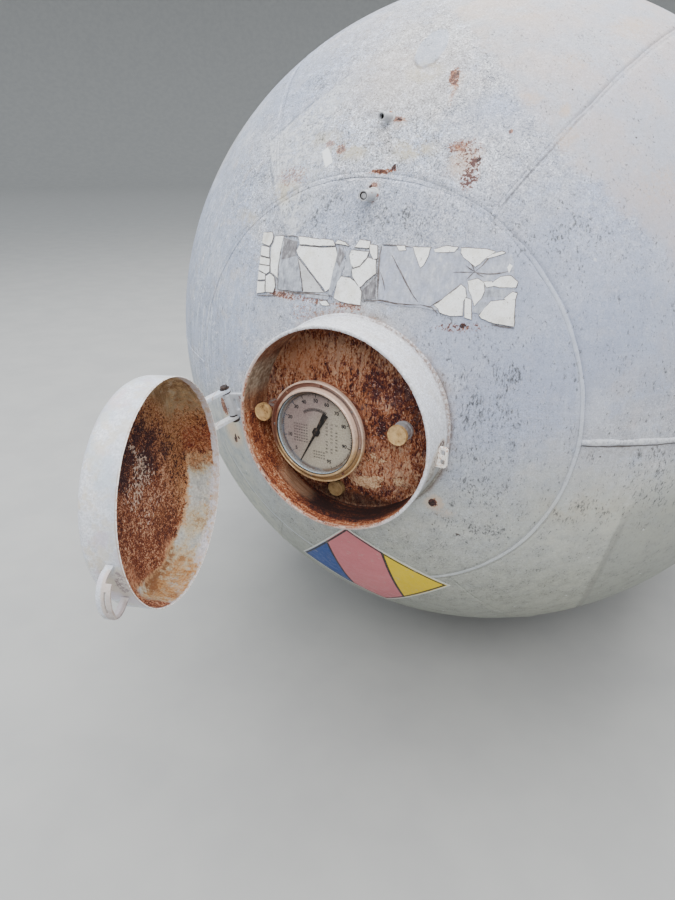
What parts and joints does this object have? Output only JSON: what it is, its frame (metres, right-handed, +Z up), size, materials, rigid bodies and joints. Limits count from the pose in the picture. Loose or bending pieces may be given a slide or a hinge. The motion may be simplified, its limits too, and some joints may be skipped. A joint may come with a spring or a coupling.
{
  "type": "propane storage tank",
  "caption": "Horizontal steel propane storage tank with hemispherical welded heads, round gauge hood with a hinged pan lid, saddles, lifting lugs and top relief nozzle.",
  "frame": {"origin": "centre of the bounding box on the floor, on the tank's centre plane", "axes": "+Z up, tank axis along Y, the head with the gauge hood faces -Y"},
  "size_m": [2.133, 8.4769, 2.349],
  "materials": {
    "tank_paint": "chalky weathered white-grey paint with rust spots",
    "hood_paint": "weathered paint outside, red-brown rust inside",
    "lid_paint": "chalky white paint outside, rust inside the lid",
    "brass": "dull tarnished brass",
    "dial_face": "matt printed dial",
    "needle_black": "matt black",
    "bare_steel": "oxidised steel",
    "support_paint": "weathered grey paint"
  },
  "bodies": {
    "tank": {"drain_coupling": "bare_steel", "front_crown": "tank_paint", "front_petal_1": "tank_paint", "front_petal_2": "tank_paint", "front_petal_3": "tank_paint", "front_petal_4": "tank_paint", "front_petal_5": "tank_paint", "front_petal_6": "tank_paint", "front_saddle": "support_paint", "front_wear_pad": "support_paint", "gauge_bezel": "brass", "gauge_dial": "dial_face", "gauge_flange": "bare_steel", "gauge_hood": "hood_paint", "gauge_needle": "needle_black", "hinge_bracket": "lid_paint", "hinge_pin": "bare_steel", "hood_staple": "lid_paint", "left_bushing": "bare_steel", "left_cap": "brass", "lifting_lug_front": "support_paint", "lifting_lug_rear": "support_paint", "low_plug": "brass", "lower_coupling": "bare_steel", "rear_crown": "tank_paint", "rear_petal_1": "tank_paint", "rear_petal_2": "tank_paint", "rear_petal_3": "tank_paint", "rear_petal_4": "tank_paint", "rear_petal_5": "tank_paint", "rear_petal_6": "tank_paint", "rear_saddle": "support_paint", "rear_wear_pad": "support_paint", "relief_cap": "bare_steel", "relief_nozzle": "support_paint", "right_bushing": "bare_steel", "right_cap": "brass", "shell_course_1": "tank_paint", "shell_course_2": "tank_paint", "shell_course_3": "tank_paint", "upper_coupling": "bare_steel"},
    "lid": {"hood_lid": "lid_paint", "lid_handle": "lid_paint", "hinge_arm_upper": "lid_paint", "hinge_arm_lower": "lid_paint"}
  },
  "joints": [
    {"name": "lid_hinge", "type": "hinge", "parent": "tank", "child": "lid", "pos_m": [-0.309, -3.6275, 1.134], "axis": [-0.175, -0.205, 0.963], "range_deg": [-30, 74.3]}
  ]
}
